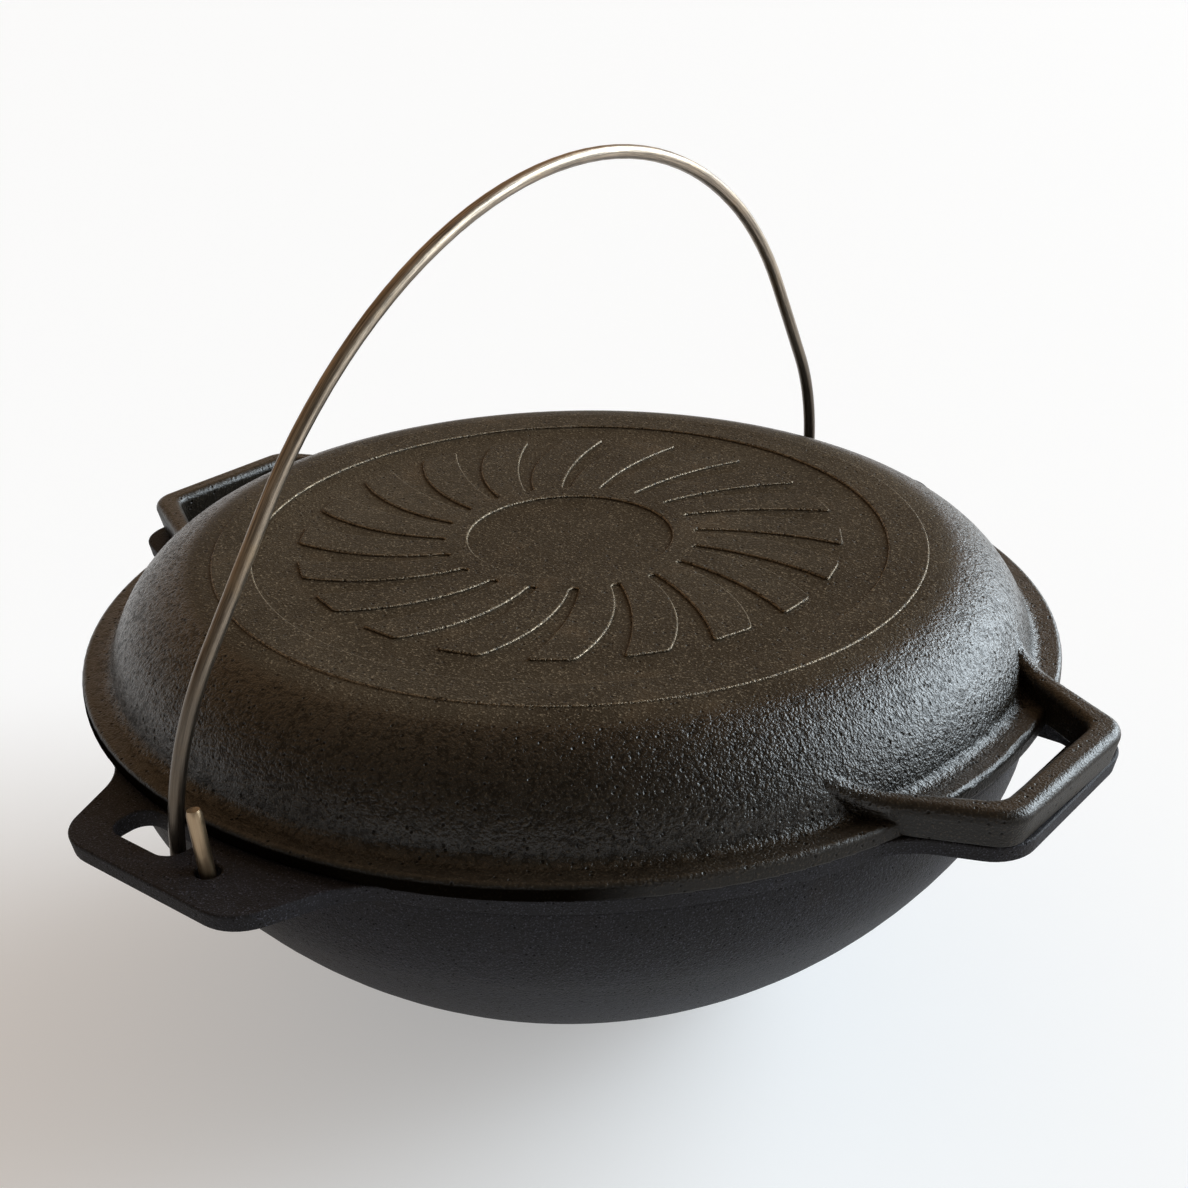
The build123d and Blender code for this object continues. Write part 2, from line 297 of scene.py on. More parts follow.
def make_iron(name, settings, skin):
    """Seasoned cast iron: orange-peel skin, fine sand grain, small pits and brownish stains, with
    painted shade in its hollows and on the flange's edge and a painted highlight on the ornament's
    rounded edges.
    """
    dark, light, rim = settings.dark, settings.light, skin.rim
    material, bench = start_material(name)
    place = bench.make("ShaderNodeTexCoord", output="Object")
    facing = bench.make("ShaderNodeTexCoord", output="Normal")
    east, _, height = bench.split(place)
    _, _, upward = bench.split(facing)
    radius = bench.length(bench.vector("MULTIPLY", place, (1.0, 1.0, 0.0)))
    edge_drop = bench.attribute("edge_drop", "Fac")

    cloud = bench.noise(place, 9.0, 4.0, 0.6)
    patch = bench.noise(place, 42.0, 3.0, 0.55, 0.4)
    peel = bench.noise(place, skin.scale, 2.0, 0.45)
    swell = bench.noise(place, skin.scale * 0.42, 1.5, 0.5)
    grain = bench.noise(place, skin.scale * 2.0, 2.5, 0.6)

    # The flat top and the rim have a calmer skin, with fewer pits and shallower valleys
    top = bench.ramp(height, skin.calm_level - 1.5 * MM, skin.calm_level)
    calm = top.most(bench.ramp(radius, rim.radius - 9.0 * MM, rim.radius - 1.0 * MM))
    pit_centres = bench.ramp(bench.cells(place, skin.scale * 0.62), 0.10, 0.30)
    pit_choice = bench.ramp(bench.noise(place, skin.scale * 0.3, 1.0, 0.5), 0.58, 0.66)
    pits = (1.0 - pit_centres) * pit_choice * (1.0 - calm)
    pore_centres = bench.ramp(bench.cells(place, skin.scale * 0.52), 0.10, 0.25)
    pores = (1.0 - pore_centres) * bench.ramp(swell, 0.40, 0.52)
    valleys = (1.0 - bench.ramp(peel * 0.6 + swell * 0.4, 0.40, 0.51)) * (1.0 - calm * 0.45)

    # Painted shade: the flange's edge away from the handles, the pits, pores and valleys of the skin
    # and the foot of the ornament are darkened and dulled
    beyond = bench.ramp(radius, rim.radius - 1.0 * MM, rim.radius)
    edge = beyond - bench.ramp(radius, rim.radius + 1.2 * MM, rim.radius + 3.0 * MM)
    handled = bench.ramp(east.most(-1.0 * east), 0.11, 0.15)
    # Painted shade on the lower part of the flange's edge, away from the handles
    seam = (edge - bench.ramp(height, rim.level, rim.level + 1.5 * MM)).clamped()
    seam = seam * (1.0 - handled) * rim.soot
    # Painted shade at the foot of the ornament's raised edges
    foot_line = bench.ramp(edge_drop, 0.80, 1.0) * 0.85
    # The pits, pores and valleys of the skin are darkened as painted shade, along with the seam and the
    # ornament's foot
    soot = seam.most(pits * 0.7).most(pores * 0.8).most(foot_line).most(valleys * 0.42)

    # The ornament's rounded edges are rubbed and more metallic, and their colour is lightened as a
    # painted highlight; the flat top is dry, and the rim's faces turned away from up are dulled as
    # painted shade
    round_edge = bench.ramp(edge_drop, 0.02, 0.25) - bench.ramp(edge_drop, 0.65, 0.90)
    wear_and_highlight = round_edge * bench.ramp(grain, 0.38, 0.56)
    dry = top * skin.dry_top * (1.0 - wear_and_highlight)
    # Painted shade: faces beyond the rim that turn away from up lose their sheen
    sides = beyond * (1.0 - bench.ramp(upward, 0.10, 0.55)) * 0.55
    dull = soot.most(sides).most(skin.dryness).most(dry)

    tone = bench.ramp(cloud * 0.50 + patch * 0.25 + grain * 0.25, 0.32, 0.68)
    body = bench.mix(tone, rgba(dark), rgba(light))
    aged = bench.mix(bench.ramp(patch, 0.55, 0.78) * 0.45, body, rgba(settings.stain))
    speckled = bench.mix(bench.ramp(grain, 0.56, 0.70) * 0.7, aged, rgba(light, 4.0))
    # Painted highlight: the rubbed edges' colour is lightened far above the iron's own
    highlit = bench.mix(wear_and_highlight * 0.8, speckled, rgba(light, 14.0))
    # The painted shade darkens the colour
    shaded_colour = bench.mix(soot * 0.85, highlit, rgba(dark, 0.35))
    shine = skin.roughness + (grain - 0.5) * 0.16 + (cloud - 0.5) * 0.12
    shine = shine + pits * 0.12 + calm * 0.05 - wear_and_highlight * 0.08
    relief = (peel * 0.70 + swell * 0.26) * (1.0 - calm * 0.75)
    relief = relief + grain * 0.50 + wear_and_highlight * 0.30 - pits * 0.35 - pores * 0.42
    values = {
        "Base Color": bench.scale(shaded_colour, 1.0 + dry * 3.5),
        "Roughness": shine.clamped(),
        "Metallic": wear_and_highlight * 0.6,
        "IOR": 1.5,
        "Specular IOR Level": skin.specular,
    }
    finish_material(bench, values, relief, settings.skin_depth, 1.0, dull)
    return material


def make_steel(name, settings):
    """Drawn steel wire: streaks along it, dull heat stains and golden ends."""
    dark, golden = rgba(settings.dark), rgba(settings.golden)
    material, bench = start_material(name)
    place = bench.make("ShaderNodeTexCoord", output="Object")
    along, side, top = bench.split(bench.attribute("wire", "Vector"))
    lengthwise = bench.combine(along * 14.0, side * 1.6, top * 1.6)
    streaks = bench.noise(lengthwise, 2.2, 4.0, 0.65)
    scratches = bench.noise(lengthwise, 9.0, 3.0, 0.6)
    stains = bench.noise(place, 55.0, 4.0, 0.6, 0.5)
    specks = bench.noise(place, 900.0, 2.0, 0.6)
    drawn = bench.ramp(streaks * 0.6 + scratches * 0.4, 0.36, 0.66)
    body = bench.mix(drawn, dark, rgba(settings.light))
    stained = bench.mix(bench.ramp(stains, 0.50, 0.75) * 0.6, body, golden)
    # The wire is darker along a stretch past each golden end
    past_tip = bench.ramp(along, GOLDEN_LENGTH, GOLDEN_LENGTH * 1.4)
    stretch_end = bench.ramp(along, GOLDEN_LENGTH * 2.4, GOLDEN_LENGTH * 5.0)
    dark_stretch = past_tip * (1.0 - stretch_end) * (0.45 + streaks * 0.6)
    darkened = bench.mix(dark_stretch, stained, rgba(settings.dark, 0.45))
    at_tip = 1.0 - bench.ramp(along, GOLDEN_LENGTH * 0.8, GOLDEN_LENGTH)
    shine = 0.34 + (scratches - 0.5) * 0.24 + bench.ramp(stains, 0.5, 0.8) * 0.16
    values = {
        "Base Color": bench.mix(at_tip * 0.75, darkened, golden),
        "Roughness": shine.clamped(),
        "Metallic": 1.0,
    }
    finish_material(bench, values, scratches * 0.5 + specks * 0.5, 0.1 * MM, 0.7)
    return material


# Geometry trees

class GeometryTree:
    """A Geometry Nodes tree with named inputs, ready to be put on a modifier."""

    def __init__(self, name):
        self.tree = bpy.data.node_groups.new(name, "GeometryNodeTree")
        self.tree.is_modifier = True
        self.bench = Bench(self.tree)
        self.entry = self.tree.nodes.new("NodeGroupInput")
        self.exit = self.tree.nodes.new("NodeGroupOutput")
        self.tree.interface.new_socket("Geometry", in_out="INPUT", socket_type="NodeSocketGeometry")
        self.tree.interface.new_socket("Geometry", in_out="OUTPUT", socket_type="NodeSocketGeometry")
        self.names = {}

    def input(self, name, kind="NodeSocketFloat"):
        """A new named input of the tree, as a term."""
        socket = self.tree.interface.new_socket(name, in_out="INPUT", socket_type=kind)
        self.names[name] = socket.identifier
        return Term(self.tree, self.entry.outputs[name])

    def geometry(self):
        return Term(self.tree, self.entry.outputs["Geometry"])

    def finish(self, geometry, material):
        """Makes real meshes of the instances, gives them their material and ends the tree."""
        real = self.bench.make("GeometryNodeRealizeInstances", None, {"Geometry": geometry})
        done = self.bench.make(
            "GeometryNodeSetMaterial", None, {"Geometry": real, "Material": material}
        )
        feed(self.tree, self.exit.inputs["Geometry"], done)

    def bake(self, base, name, values):
        """Runs the tree on an object with these input values, and returns a plain mesh object."""
        modifier = base.modifiers.new(name, "NODES")
        modifier.node_group = self.tree
        for key, value in values.items():
            modifier[self.names[key]] = value
        graph = bpy.context.evaluated_depsgraph_get()
        mesh = bpy.data.meshes.new_from_object(
            base.evaluated_get(graph), preserve_all_data_layers=True, depsgraph=graph
        )
        mesh.name = name
        while None in mesh.materials[:]:
            mesh.materials.pop(index=mesh.materials[:].index(None))
        base.modifiers.remove(modifier)
        bpy.data.objects.remove(base)
        piece = bpy.data.objects.new(name, mesh)
        bpy.context.scene.collection.objects.link(piece)
        return piece


def empty_base(name):
    """An object with no shape of its own, for a tree that makes everything."""
    base = bpy.data.objects.new(name, bpy.data.meshes.new(name))
    bpy.context.scene.collection.objects.link(base)
    return base


ROUND_ROWS = 4          # rows of points that round a cast edge
FLAT_ROW = 2 + ROUND_ROWS   # the row that starts the flat top, after the base, the wall and the round
BLADE_ROWS = 18         # across a blade or a ring, from base to base
BLADE_STEPS = 110       # along a blade
RING_STEPS = 320        # round a ring
ARC_POINTS = 64         # along each side of a blade
FLAT_MARGIN = 0.15 * MM     # between the round edge and the next row, so that the top shades flat

BEND_POINTS = 40        # round each bend of the wire
WIRE_STEP = 1.6 * MM    # along the wire
WIRE_SIDES = 24
SWAY_SCALE = 16.0       # bends to the metre in hand-bent wire
END_SHARE = 0.82        # of the wire's thickness that is left at its very end


def edge_rows(row, last, width, rounding, depth):
    """How far each row of a raised form lies from its first edge and under its top."""
    quarter = math.pi / 2 / (ROUND_ROWS - 1)
    from_edge = row.least(last - row)
    angle = ((from_edge - 2.0).most(0.0) * quarter).least(math.pi / 2)
    inset = rounding * (1.0 - angle.cos()) + (from_edge > FLAT_ROW - 0.5) * FLAT_MARGIN
    drop = rounding * (1.0 - angle.sin()) + (from_edge < 1.5) * (depth - rounding)
    share = (from_edge - FLAT_ROW).most(0.0) / (last - 2 * FLAT_ROW)
    near = inset + share * (width - 2.0 * (rounding + FLAT_MARGIN))
    place = near + (row > last / 2) * (width - 2.0 * near)
    return place, drop, from_edge < 0.5


def make_swirl_tree():
    """Raised rings and curved blades, repeated round the middle of the lid."""
    group = GeometryTree("lid_swirl")
    bench = group.bench
    count = group.input("Blade Count", "NodeSocketInt")
    hub_inner = group.input("Hub Inner Radius")
    hub_outer = group.input("Hub Outer Radius")
    middle = group.input("Blade Middle Radius")
    tip = group.input("Blade Tip Radius")
    foot_inner = group.input("Foot Inner Radius")
    foot_outer = group.input("Foot Outer Radius")
    lead = [group.input("Leading Angle " + part) for part in ("Tip", "Middle", "Hub")]
    trail = [group.input("Trailing Angle " + part) for part in ("Tip", "Middle", "Hub")]
    top = group.input("Top Level")
    depth = group.input("Depth")
    root = group.input("Blade Root Radius")
    corner = group.input("Blade Corner Radius")
    bury = group.input("Blade Root Length")
    fillet = group.input("Slot End Radius")
    rounding = group.input("Edge Rounding")
    blade_drop = group.input("Blade Drop")
    turn = group.input("Turn")
    material = group.input("Material", "NodeSocketMaterial")

    def grid_rows(steps, rows):
        grid = bench.make(
            "GeometryNodeMeshGrid",
            None,
            {"Size X": steps, "Size Y": rows, "Vertices X": steps + 1, "Vertices Y": rows + 1},
        )
        spot = bench.make("GeometryNodeInputPosition")
        x, y, _ = bench.split(spot)
        return grid, x + steps / 2, y + rows / 2

    def mark(grid, drop):
        return bench.make(
            "GeometryNodeStoreNamedAttribute",
            {"data_type": "FLOAT", "domain": "POINT"},
            {"Geometry": grid, "Name": "edge_drop", "Value": (drop / rounding).clamped()},
        )

    def placed(grid, drop, spot):
        """Moves the points of a grid to their places, marks how far down its rounded edge each one lies
        and closes the seams.
        """
        moved = bench.make(
            "GeometryNodeSetPosition", None, {"Geometry": mark(grid, drop), "Position": spot}
        )
        return bench.make(
            "GeometryNodeMergeByDistance", None, {"Geometry": moved, "Distance": MERGE_DISTANCE}
        )

    def ring(inner, outer):
        grid, step, row = grid_rows(RING_STEPS, BLADE_ROWS)
        width = outer - inner
        place, drop, at_base = edge_rows(row, BLADE_ROWS, width, rounding, depth)
        radius = inner + place + at_base * (width / 2.0 - place)
        angle = step * (2 * math.pi / RING_STEPS)
        spot = bench.combine(radius * angle.cos(), radius * angle.sin(), top - drop)
        return placed(grid, drop, spot)

    def side(angles):
        points = []
        for radius, angle in zip((tip, middle, root), angles):
            points.append(bench.combine(radius * angle.cos(), radius * angle.sin(), 0.0))
        return bench.make(
            "GeometryNodeCurveArc",
            {"mode": "POINTS"},
            {"Resolution": ARC_POINTS, "Start": points[0], "Middle": points[1], "End": points[2]},
        )

    def sample(curve, factor):
        node = bench.node(
            "GeometryNodeSampleCurve", {"mode": "FACTOR"}, {"Curves": curve, "Factor": factor}
        )
        return Term(bench.tree, node.outputs["Position"])

    leading = side(lead)
    trailing = side(trail)
    length = bench.make("GeometryNodeCurveLength", None, {"Curve": leading})
    grid, step, row = grid_rows(BLADE_STEPS, BLADE_ROWS)
    along, along_drop, _ = edge_rows(step, BLADE_STEPS, length, rounding, depth)
    start = sample(leading, (along / length).clamped())
    end = sample(trailing, (along / length).clamped())
    width = bench.make(
        "ShaderNodeVectorMath", {"operation": "DISTANCE"}, {0: start, 1: end}, output="Value"
    )
    across, across_drop, _ = edge_rows(row, BLADE_ROWS, width, rounding, depth)
    short = (corner - along).most(0.0)
    narrowing = corner - (corner * corner - short * short).most(0.0).root()
    near_hub = (fillet - (length - bury - along).most(0.0)).most(0.0)
    widening = fillet - (fillet * fillet - near_hub * near_hub).most(0.0).root()
    inward = narrowing - widening
    share = (inward + across * (1.0 - 2.0 * inward / width)) / width
    flat = bench.vector("ADD", start, bench.scale(bench.vector("SUBTRACT", end, start), share))
    drop = along_drop.most(across_drop)
    spot = bench.vector("ADD", flat, bench.combine(0.0, 0.0, top - blade_drop - drop))
    blade = placed(grid, drop, spot)
    points = bench.make("GeometryNodePoints", None, {"Count": count})
    index = bench.make("GeometryNodeInputIndex")
    spin = bench.combine(0.0, 0.0, turn + index * (2 * math.pi) / count)
    rotation = bench.make("FunctionNodeEulerToRotation", None, {"Euler": spin})
    blades = bench.make(
        "GeometryNodeInstanceOnPoints",
        None,
        {"Points": points, "Instance": blade, "Rotation": rotation},
    )
    joined = bench.node("GeometryNodeJoinGeometry")
    for part in (ring(hub_inner, hub_outer), ring(foot_inner, foot_outer), blades):
        bench.tree.links.new(part.socket, joined.inputs[0])
    group.finish(Term(bench.tree, joined.outputs[0]), material)
    return group


def make_wire_tree():
    """Round wire along a bent path, with rounded bends, slight unevenness and dressed ends."""
    group = GeometryTree("bail_wire")
    bench = group.bench
    thickness = group.input("Wire Diameter")
    unevenness = group.input("Unevenness")
    end_length = group.input("End Length")
    material = group.input("Material", "NodeSocketMaterial")
    bend = bench.make("GeometryNodeInputRadius")
    fillet = bench.node(
        "GeometryNodeFilletCurve",
        {"mode": "POLY"},
        {"Curve": group.geometry(), "Count": BEND_POINTS, "Radius": bend},
    )
    path = bench.make(
        "GeometryNodeResampleCurve",
        {"mode": "LENGTH"},
        {"Curve": Term(bench.tree, fillet.outputs[0]), "Length": WIRE_STEP},
    )
    spot = bench.make("GeometryNodeInputPosition")
    sway = bench.node(
        "ShaderNodeTexNoise", None, {"Vector": spot, "Scale": SWAY_SCALE, "Detail": 1.0}
    )
    shift = bench.vector("SUBTRACT", Term(bench.tree, sway.outputs["Color"]), (0.5, 0.5, 0.5))
    uneven = bench.make(
        "GeometryNodeSetPosition",
        None,
        {"Geometry": path, "Offset": bench.scale(shift, unevenness)},
    )
    spline = bench.node("GeometryNodeSplineParameter")
    along = Term(bench.tree, spline.outputs["Length"])
    factor = Term(bench.tree, spline.outputs["Factor"])
    total = bench.make("GeometryNodeCurveLength", None, {"Curve": uneven})
    from_end = along.least(total * (1.0 - factor))
    taper = END_SHARE + (1.0 - END_SHARE) * bench.ramp(from_end, 0.0, end_length)
    kept = bench.node("GeometryNodeCaptureAttribute", {"domain": "POINT"}, {"Geometry": uneven})
    kept.capture_items.new("FLOAT", "Along")
    feed(bench.tree, kept.inputs["Along"], from_end)
    circle = bench.make(
        "GeometryNodeCurvePrimitiveCircle", None, {"Resolution": WIRE_SIDES, "Radius": thickness / 2.0}
    )
    profile = bench.node("GeometryNodeCaptureAttribute", {"domain": "POINT"}, {"Geometry": circle})
    profile.capture_items.new("FLOAT", "Around")
    around = bench.node("GeometryNodeSplineParameter")
    feed(bench.tree, profile.inputs["Around"], Term(bench.tree, around.outputs["Factor"]))
    tube = bench.make(
        "GeometryNodeCurveToMesh",
        None,
        {
            "Curve": Term(bench.tree, kept.outputs["Geometry"]),
            "Profile Curve": Term(bench.tree, profile.outputs["Geometry"]),
            "Scale": taper,
            "Fill Caps": True,
        },
    )
    turn = Term(bench.tree, profile.outputs["Around"]) * (2 * math.pi)
    marks = bench.combine(Term(bench.tree, kept.outputs["Along"]), turn.cos(), turn.sin())
    marked = bench.make(
        "GeometryNodeStoreNamedAttribute",
        {"data_type": "FLOAT_VECTOR", "domain": "POINT"},
        {"Geometry": tube, "Name": "wire", "Value": marks},
    )
    group.finish(marked, material)
    return group


# Settings

class PotSettings(bpy.types.PropertyGroup):
    """Finish of the pot."""

    dark: bpy.props.FloatVectorProperty(
        name="Dark Iron", description="Colour of the pot's darker patches",
        subtype="COLOR", size=3, min=0.0, max=1.0, default=(0.0112, 0.0098, 0.0088),
    )
    light: bpy.props.FloatVectorProperty(
        name="Light Iron", description="Colour of the pot's lighter patches",
        subtype="COLOR", size=3, min=0.0, max=1.0, default=(0.0235, 0.0235, 0.0295),
    )
    stain: bpy.props.FloatVectorProperty(
        name="Seasoning", description="Colour of the oil stains on the pot",
        subtype="COLOR", size=3, min=0.0, max=1.0, default=(0.0190, 0.0128, 0.0080),
    )
    skin_depth: bpy.props.FloatProperty(
        name="Skin Depth", description="Depth of the sand grain on the pot",
        subtype="DISTANCE", unit="LENGTH", default=0.0006,
    )


class LidSettings(bpy.types.PropertyGroup):
    """Finish and ornament of the lid."""

    dark: bpy.props.FloatVectorProperty(
        name="Dark Iron", description="Colour of the lid's darker patches",
        subtype="COLOR", size=3, min=0.0, max=1.0, default=(0.0078, 0.0059, 0.0038),
    )
    light: bpy.props.FloatVectorProperty(
        name="Light Iron", description="Colour of the lid's lighter patches",
        subtype="COLOR", size=3, min=0.0, max=1.0, default=(0.0165, 0.0130, 0.0088),
    )
    stain: bpy.props.FloatVectorProperty(
        name="Seasoning", description="Colour of the oil stains on the lid",
        subtype="COLOR", size=3, min=0.0, max=1.0, default=(0.0210, 0.0140, 0.0080),
    )
    skin_depth: bpy.props.FloatProperty(
        name="Skin Depth", description="Depth of the orange-peel skin of the casting",
        subtype="DISTANCE", unit="LENGTH", default=0.00058,
    )
    blade_count: bpy.props.IntProperty(
        name="Blades", description="Curved blades in the swirl", default=20, min=3,
    )
    blade_tip_radius: bpy.props.FloatProperty(
        name="Swirl Radius", description="From the middle to the tips of the blades",
        subtype="DISTANCE", unit="LENGTH", default=0.0995,
    )
    blade_mid_radius: bpy.props.FloatProperty(
        name="Bow Radius", description="From the middle to where the blades bow most",
        subtype="DISTANCE", unit="LENGTH", default=0.077,
    )
    hub_inner_radius: bpy.props.FloatProperty(
        name="Hub Inner Radius", description="Inside of the ring that the blades spring from",
        subtype="DISTANCE", unit="LENGTH", default=0.0375,
    )
    hub_outer_radius: bpy.props.FloatProperty(
        name="Hub Outer Radius", description="Outside of the ring that the blades spring from",
        subtype="DISTANCE", unit="LENGTH", default=0.046,
    )
    swirl_step: bpy.props.FloatProperty(
        name="Relief", description="Height of the swirl above the sunken field",
        subtype="DISTANCE", unit="LENGTH", default=0.0008,
    )
    edge_rounding: bpy.props.FloatProperty(
        name="Edge Rounding", description="Rounding of the cast edges of the swirl and the foot ring",
        subtype="DISTANCE", unit="LENGTH", default=0.00075,
    )
    foot_inner_radius: bpy.props.FloatProperty(
        name="Foot Inner Radius", description="Inside of the ring that the lid stands on upside down",
        subtype="DISTANCE", unit="LENGTH", default=0.1154,
    )
    foot_outer_radius: bpy.props.FloatProperty(
        name="Foot Outer Radius", description="Outside of the ring that the lid stands on upside down",
        subtype="DISTANCE", unit="LENGTH", default=0.130,
    )
    turn: bpy.props.FloatProperty(
        name="Turn", description="Angle that the lid lies turned on the pot",
        subtype="ANGLE", unit="ROTATION", default=math.radians(-1.8),
    )


class BailSettings(bpy.types.PropertyGroup):
    """Shape and finish of the bail."""

    wire_diameter: bpy.props.FloatProperty(
        name="Wire Diameter", description="Thickness of the steel wire",
        subtype="DISTANCE", unit="LENGTH", default=0.005,
    )
    unevenness: bpy.props.FloatProperty(
        name="Unevenness", description="How far the hand-bent wire strays from its line",
        subtype="DISTANCE", unit="LENGTH", default=0.0004,
    )
    lean: bpy.props.FloatProperty(
        name="Lean", description="Angle from upright at which the bail stands",
        subtype="ANGLE", unit="ROTATION", default=math.radians(4.4),
    )
    light: bpy.props.FloatVectorProperty(
        name="Bright Steel", description="Colour of the wire where it is bright",
        subtype="COLOR", size=3, min=0.0, max=1.0, default=(0.47, 0.385, 0.295),
    )
    dark: bpy.props.FloatVectorProperty(
        name="Dull Steel", description="Colour of the wire's dark streaks",
        subtype="COLOR", size=3, min=0.0, max=1.0, default=(0.11, 0.092, 0.075),
    )
    golden: bpy.props.FloatVectorProperty(
        name="Stained Steel", description="Colour of the wire's stains and ends",
        subtype="COLOR", size=3, min=0.0, max=1.0, default=(0.33, 0.235, 0.14),
    )


class StageSettings(bpy.types.PropertyGroup):
    """Floor, light of the room and camera."""

    window_light: bpy.props.FloatVectorProperty(
        name="Window Light", description="Light of the wide window behind the cauldron",
        subtype="COLOR", size=3, min=0.0, soft_max=10.0, default=(10.8, 12.2, 13.2),
    )
    window_left: bpy.props.FloatProperty(
        name="Window Left", description="Heading of the window's left side",
        subtype="ANGLE", unit="ROTATION", default=math.radians(0.0),
    )
    window_right: bpy.props.FloatProperty(
        name="Window Right", description="Heading of the window's right side",
        subtype="ANGLE", unit="ROTATION", default=math.radians(58.0),
    )
    room_front: bpy.props.FloatVectorProperty(
        name="Front of the Room", description="Light that comes from the camera's side",
        subtype="COLOR", size=3, min=0.0, max=1.0, default=(0.20, 0.165, 0.125),
    )
    room_back: bpy.props.FloatVectorProperty(
        name="Back of the Room", description="Light that comes from behind the cauldron",
        subtype="COLOR", size=3, min=0.0, max=1.0, default=(0.46, 0.285, 0.15),
    )
    floor_glow: bpy.props.FloatProperty(
        name="Floor Glow", description="White that the floor adds where it is seen", default=0.38,
    )
    floor_colour: bpy.props.FloatVectorProperty(
        name="Floor", description="Colour of the floor",
        subtype="COLOR", size=3, min=0.0, max=1.0, default=(0.655, 0.66, 0.67),
    )
    lens: bpy.props.FloatProperty(
        name="Lens", description="Focal length of the camera",
        subtype="DISTANCE_CAMERA", default=55.09,
    )


def sharpen(mesh):
    """Smooth shading that keeps sharp edges."""
    mesh.shade_smooth()
    mesh.set_sharp_from_angle(angle=math.radians(SMOOTH_ANGLE))


class CAULDRON_OT_pot(bpy.types.Operator):
    """Gives the pot its cast iron skin."""

    bl_idname = "cauldron.pot"
    bl_label = "Pot"

    def execute(self, context):
        skin = IronSkin(
            scale=820.0, calm_level=pot_low.z + 117.0 * MM,
            # No painted shade along the pot's rim edge
            rim=Rim(radius=0.176, level=pot_high.z, soot=0.0),
            roughness=0.44, specular=0.24, dryness=0.45, dry_top=0.0,
        )
        iron = make_iron("seasoned_pot_iron", context.scene.cauldron_pot_settings, skin)
        node = frame["nodes"]["cauldron_pot"]
        node.data.materials.clear()
        node.data.materials.append(iron)
        return {"FINISHED"}


def open_top(form, low_step, foot_outer):
    """Deletes the faces of the lid's top, out to the outer edge of its foot ring."""
    on_top = []
    for face in form.faces:
        middle = face.calc_center_median()
        inside = math.hypot(middle.x, middle.y) < foot_outer - 0.05 * MM
        reach = max(math.hypot(vert.co.x, vert.co.y) for vert in face.verts)
        if middle.z > low_step and (inside or reach < foot_outer + 0.01 * MM):
            on_top.append(face)
    bmesh.ops.delete(form, geom=on_top, context="FACES")


def close_field(form, level, shrink):
    """Closes the open top with a slope, under the foot ring, and one flat face at a level."""
    loop = [edge for edge in form.edges if edge.is_boundary]
    if not loop:
        raise RuntimeError("the lid's top was not found")
    inner = {}
    for edge in loop:
        for vert in edge.verts:
            if vert not in inner:
                inner[vert] = form.verts.new((vert.co.x * shrink, vert.co.y * shrink, level))
    for edge in loop:
        corner = edge.link_loops[0]
        start, end = corner.vert, corner.link_loop_next.vert
        form.faces.new((end, start, inner[start], inner[end]))
    made = bmesh.ops.contextual_create(form, geom=[edge for edge in form.edges if edge.is_boundary])
    form.normal_update()
    for face in made["faces"]:
        if face.normal.z < 0:
            face.normal_flip()


def restore_normals(mesh, level):
    """Gives the casting its own smooth normals back, and the flat field straight ones."""
    mesh.shade_smooth()
    normals = []
    for item, corner in zip(mesh.attributes["kept_normal"].data, mesh.corner_normals):
        known = Vector(item.vector)
        normals.append(known if known.length > 0.5 else corner.vector)
    for polygon in mesh.polygons:
        if polygon.center.z > level - 0.01 * MM and polygon.area > FIELD_LEAST_AREA:
            for index in polygon.loop_indices:
                normals[index] = Vector((0.0, 0.0, 1.0))
    mesh.normals_split_custom_set(normals)
    mesh.attributes.remove(mesh.attributes["kept_normal"])


class CAULDRON_OT_lid(bpy.types.Operator):
    """Makes the lid's casting, with a flat field under its raised ornament."""

    bl_idname = "cauldron.lid"
    bl_label = "Lid Casting"

    def execute(self, context):
        settings = context.scene.cauldron_lid_settings
        skin = IronSkin(
            scale=620.0, calm_level=lid_high.z - 1.0 * MM,
            # Full painted shade along the lower part of the flange's edge
            rim=Rim(radius=0.1778, level=lid_low.z + 4.2 * MM, soot=1.0),
            roughness=0.28, specular=0.44, dryness=0.0, dry_top=0.70,
        )
        iron = make_iron("seasoned_lid_iron", settings, skin)
        mesh = frame["nodes"]["lid_pan"].data.copy()
        mesh.name = "lid_casting"
        kept = mesh.attributes.new("kept_normal", "FLOAT_VECTOR", "CORNER")
        for item, corner in zip(kept.data, mesh.corner_normals):
            item.vector = corner.vector
        field = lid_high.z - settings.swirl_step
        foot_outer = settings.foot_outer_radius
        form = bmesh.new()
        form.from_mesh(mesh)
        bmesh.ops.remove_doubles(form, verts=form.verts, dist=SAME_PLACE)
        open_top(form, field - 0.2 * MM, foot_outer)
        close_field(form, field, (foot_outer - FIELD_SLOPE) / foot_outer)
        form.to_mesh(mesh)
        form.free()
        piece = bpy.data.objects.new("lid_casting", mesh)
        context.scene.collection.objects.link(piece)
        mesh.materials.clear()
        mesh.materials.append(iron)
        restore_normals(mesh, field)
        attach(piece, "lid")
        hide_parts("lid_pan")
        return {"FINISHED"}


